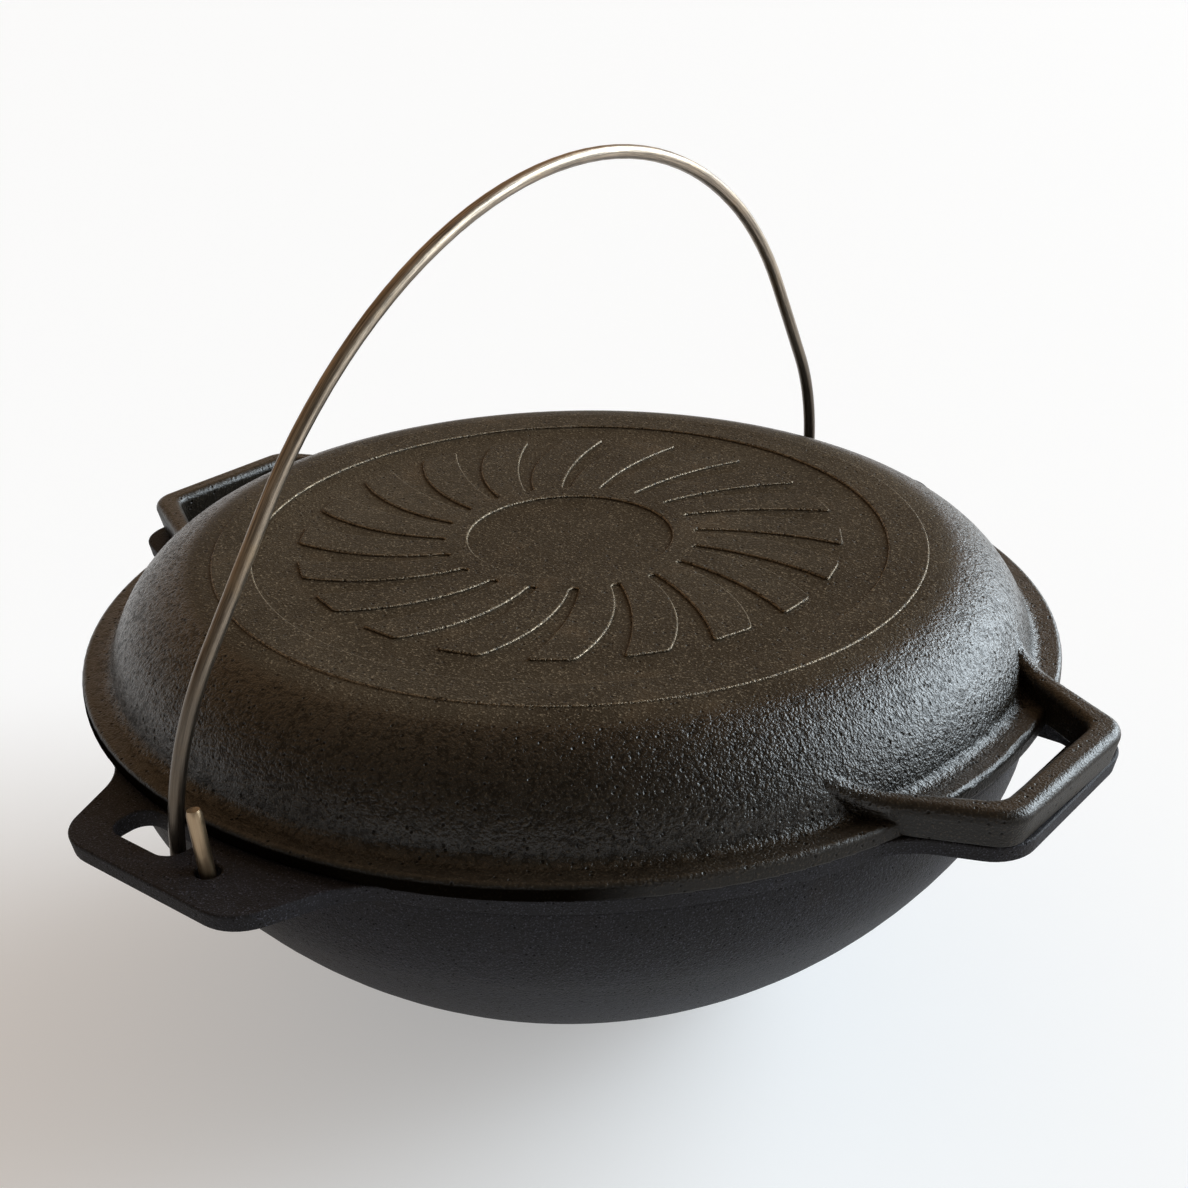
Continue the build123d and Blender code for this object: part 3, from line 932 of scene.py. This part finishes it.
class CAULDRON_OT_swirl(bpy.types.Operator):
    """Makes the raised rings and the swirl on the lid."""

    bl_idname = "cauldron.swirl"
    bl_label = "Lid Swirl"

    def execute(self, context):
        settings = context.scene.cauldron_lid_settings
        group = make_swirl_tree()
        values = {
            "Blade Count": settings.blade_count,
            "Hub Inner Radius": settings.hub_inner_radius,
            "Hub Outer Radius": settings.hub_outer_radius,
            "Blade Middle Radius": settings.blade_mid_radius,
            "Blade Tip Radius": settings.blade_tip_radius,
            "Foot Inner Radius": settings.foot_inner_radius,
            "Foot Outer Radius": settings.foot_outer_radius,
            "Top Level": lid_high.z,
            "Depth": settings.swirl_step + RELIEF_ROOT,
            "Blade Root Radius": settings.hub_outer_radius - BLADE_OVERLAP,
            "Blade Corner Radius": 2.0 * MM,
            "Blade Root Length": BLADE_OVERLAP + 0.1 * MM,
            "Slot End Radius": 1.3 * MM,
            "Edge Rounding": settings.edge_rounding,
            "Blade Drop": 0.02 * MM,
            "Turn": settings.turn + math.radians(BLADE_PHASE),
            "Material": bpy.data.materials["seasoned_lid_iron"],
        }
        for name, degrees in BLADE_SIDES.items():
            values[name] = math.radians(degrees)
        piece = group.bake(empty_base("lid_swirl"), "lid_swirl", values)
        mesh = piece.data
        form = bmesh.new()
        form.from_mesh(mesh)
        if sum(face.normal.z for face in form.faces) < 0:
            bmesh.ops.reverse_faces(form, faces=form.faces)
        bmesh.ops.holes_fill(form, edges=[edge for edge in form.edges if edge.is_boundary], sides=0)
        bmesh.ops.recalc_face_normals(form, faces=form.faces)
        form.to_mesh(mesh)
        form.free()
        sharpen(mesh)
        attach(piece, "lid")
        return {"FINISHED"}


def bail_corners(lug, stray):
    """Corners of the wire from tip to tip: across the lug, along it, up, and their rounding."""
    leg, tip = lug - LEG_INSET, lug - TIP_INSET
    hook = math.hypot(2 * HOOK_REACH, tip - leg) / 2
    hook_rounding = hook * HOOK_SHARE
    bend_corner = LEG_STRAIGHT + BEND_RADIUS * math.tan(LEG_SLANT / 2)
    arch_corner = bend_corner + leg / math.tan(LEG_SLANT) - stray
    return [
        (HOOK_REACH - FRONT_TIP_LEAN, -tip, FRONT_TIP_RISE, 0.0),
        (HOOK_REACH, -tip, TIP_BEND_LEVEL, TIP_BEND_RADIUS),
        (HOOK_REACH, -tip, -hook, hook_rounding),
        (-HOOK_REACH, -leg, -hook, hook_rounding),
        (-HOOK_REACH, -leg, bend_corner, BEND_RADIUS),
        (-HOOK_REACH, 0.0, arch_corner, ARCH_RADIUS),
        (-HOOK_REACH, leg, bend_corner, BEND_RADIUS),
        (-HOOK_REACH, leg, -hook, hook_rounding),
        (HOOK_REACH, tip, -hook, hook_rounding),
        (HOOK_REACH, tip, BACK_TIP_RISE, 0.0),
    ]


class CAULDRON_OT_bail(bpy.types.Operator):
    """Makes the bail of bent steel wire."""

    bl_idname = "cauldron.bail"
    bl_label = "Bail"

    def execute(self, context):
        settings = context.scene.cauldron_bail_settings
        steel = make_steel("stained_steel_wire", settings)
        joint = next(item for item in frame["joints"] if item["name"] == "bail_swing")
        hinge = Vector(joint["pos_m"])
        along = Vector(joint["axis"]).normalized()
        across = Vector((along.y, -along.x, 0.0))
        upright = Vector((0.0, 0.0, 1.0))
        side = across * math.cos(settings.lean) - upright * math.sin(settings.lean)
        up = across * math.sin(settings.lean) + upright * math.cos(settings.lean)
        corners = bail_corners(pot_high.y + LUG_SHORTFALL, settings.unevenness / 2)
        data = bpy.data.curves.new("bail_route", "CURVE")
        data.dimensions = "3D"
        spline = data.splines.new("POLY")
        spline.points.add(len(corners) - 1)
        for point, (x, y, z, radius) in zip(spline.points, corners):
            place = hinge + side * x + along * y + up * z
            point.co = (place.x, place.y, place.z, 1.0)
            point.radius = radius
        base = bpy.data.objects.new("bail_route", data)
        context.scene.collection.objects.link(base)
        values = {
            "Wire Diameter": settings.wire_diameter,
            "Unevenness": settings.unevenness,
            "End Length": ROUNDED_END,
            "Material": steel,
        }
        piece = make_wire_tree().bake(base, "bail_wire", values)
        sharpen(piece.data)
        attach(piece, "bail")
        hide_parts("bail_handle")
        return {"FINISHED"}


def seen_rays(bench):
    """Two terms: 1 for rays that show what is behind, mirrored or not, and 1 for the camera's own."""
    path = bench.node("ShaderNodeLightPath")
    names = ("Is Camera Ray", "Is Glossy Ray", "Is Transmission Ray")
    camera, glossy, passed = [Term(bench.tree, path.outputs[name]) for name in names]
    return camera.most(glossy).most(passed), camera


def make_floor(settings):
    """A wide disc of pale paper, which keeps the cauldron's shadow."""
    paper, bench = start_material("floor_paper")
    place = bench.make("ShaderNodeTexCoord", output="Object")
    fibre = bench.noise(place, 60.0, 3.0, 0.6)
    seen, _ = seen_rays(bench)
    values = {
        "Base Color": bench.mix(fibre, rgba(settings.floor_colour, 0.985), rgba(settings.floor_colour)),
        "Roughness": 0.9,
        "Specular IOR Level": 0.1,
        "Emission Color": bench.mix(seen, BLACK, WHITE),
        "Emission Strength": settings.floor_glow,
    }
    finish_material(bench, values, fibre, 0.1 * MM, 0.2)
    bpy.ops.mesh.primitive_circle_add(vertices=96, radius=FLOOR_RADIUS, fill_type="NGON")
    floor = bpy.context.object
    floor.name = "floor"
    floor.data.materials.append(paper)


def make_room(scene, settings):
    """Soft light from a room with one wide window, and white behind the floor."""
    world = bpy.data.worlds.new("room_light")
    scene.world = world
    world.use_nodes = True
    world.node_tree.nodes.clear()
    room = Bench(world.node_tree)
    east, north, rise = room.split(room.make("ShaderNodeTexCoord", output="Object"))
    behind = room.ramp(north * 0.78 - east * 0.62, -0.7, 0.9)
    lit_front = rgba(settings.room_front)
    front = room.mix(room.ramp(rise, 0.0, 0.55), rgba(settings.room_front, 0.4), lit_front)
    walls = room.mix(behind, front, rgba(settings.room_back))

    heading = room.make("ShaderNodeMath", {"operation": "ARCTAN2"}, {0: east, 1: north})
    sides = []
    for edge in (settings.window_left, settings.window_right):
        sides.append(room.ramp(heading, edge - WINDOW_SOFTNESS, edge + WINDOW_SOFTNESS))
    upward = room.ramp(rise, -0.02, 0.10) - room.ramp(rise, 0.50, 0.68)
    opening = ((sides[0] - sides[1]) * upward).clamped()
    light = room.mix(opening, walls, rgba(settings.window_light))

    low = 1.0 - room.ramp(rise, 0.04, 0.14)
    seen, camera_ray = seen_rays(room)
    backdrop = room.mix((low * seen).most(camera_ray), light, WHITE)
    glass = room.make("ShaderNodeBackground", None, {"Color": backdrop, "Strength": 1.0})
    room.node("ShaderNodeOutputWorld", None, {"Surface": glass})


def make_camera(scene, settings):
    """A camera at the photograph's angle and distance."""
    back = Vector((
        math.sin(CAMERA_HEADING) * math.cos(CAMERA_HEIGHT),
        -math.cos(CAMERA_HEADING) * math.cos(CAMERA_HEIGHT),
        math.sin(CAMERA_HEIGHT),
    ))
    right = Vector((math.cos(CAMERA_HEADING), math.sin(CAMERA_HEADING), 0.0))
    up = back.cross(right)
    tilted_right = right * math.cos(CAMERA_ROLL) + up * math.sin(CAMERA_ROLL)
    tilted_up = up * math.cos(CAMERA_ROLL) - right * math.sin(CAMERA_ROLL)
    data = bpy.data.cameras.new("camera")
    data.lens = settings.lens
    data.sensor_width = 36.0
    data.sensor_height = 36.0
    data.clip_start = 0.02
    data.clip_end = 60.0
    camera = bpy.data.objects.new("camera", data)
    scene.collection.objects.link(camera)
    turn = Matrix((tilted_right, tilted_up, back)).transposed()
    camera.matrix_world = Matrix.Translation(CAMERA_PLACE) @ turn.to_4x4()
    scene.camera = camera
    scene.view_settings.view_transform = "Standard"


class CAULDRON_OT_stage(bpy.types.Operator):
    """Sets up the floor, the light of the room, the background and the camera."""

    bl_idname = "cauldron.stage"
    bl_label = "Stage"

    def execute(self, context):
        settings = context.scene.cauldron_stage_settings
        make_floor(settings)
        make_room(context.scene, settings)
        make_camera(context.scene, settings)
        return {"FINISHED"}


class CAULDRON_PT_panel(bpy.types.Panel):
    """Settings and steps of the cauldron."""

    bl_idname = "CAULDRON_PT_panel"
    bl_label = "Cast Iron Cauldron"
    bl_space_type = "VIEW_3D"
    bl_region_type = "UI"
    bl_category = "Cauldron"

    def draw(self, context):
        layout = self.layout
        for name, group, operators in STEPS:
            box = layout.box()
            box.label(text=name)
            settings = getattr(context.scene, group)
            for key in settings.__annotations__:
                box.prop(settings, key)
            for operator in operators:
                box.operator(operator)


STEPS = (
    ("Pot", "cauldron_pot_settings", ("cauldron.pot",)),
    ("Lid", "cauldron_lid_settings", ("cauldron.lid", "cauldron.swirl")),
    ("Bail", "cauldron_bail_settings", ("cauldron.bail",)),
    ("Stage", "cauldron_stage_settings", ("cauldron.stage",)),
)

SETTINGS = {
    "cauldron_pot_settings": PotSettings,
    "cauldron_lid_settings": LidSettings,
    "cauldron_bail_settings": BailSettings,
    "cauldron_stage_settings": StageSettings,
}

CLASSES = (
    PotSettings,
    LidSettings,
    BailSettings,
    StageSettings,
    CAULDRON_OT_pot,
    CAULDRON_OT_lid,
    CAULDRON_OT_swirl,
    CAULDRON_OT_bail,
    CAULDRON_OT_stage,
    CAULDRON_PT_panel,
)


def register():
    for item in CLASSES:
        bpy.utils.register_class(item)
    for name, group in SETTINGS.items():
        setattr(bpy.types.Scene, name, bpy.props.PointerProperty(type=group))


def unregister():
    for name in SETTINGS:
        delattr(bpy.types.Scene, name)
    for item in reversed(CLASSES):
        bpy.utils.unregister_class(item)


def main():
    register()
    bpy.ops.cauldron.pot()
    bpy.ops.cauldron.lid()
    bpy.ops.cauldron.swirl()
    bpy.ops.cauldron.bail()
    bpy.ops.cauldron.stage()


if __name__ == "__main__":
    main()
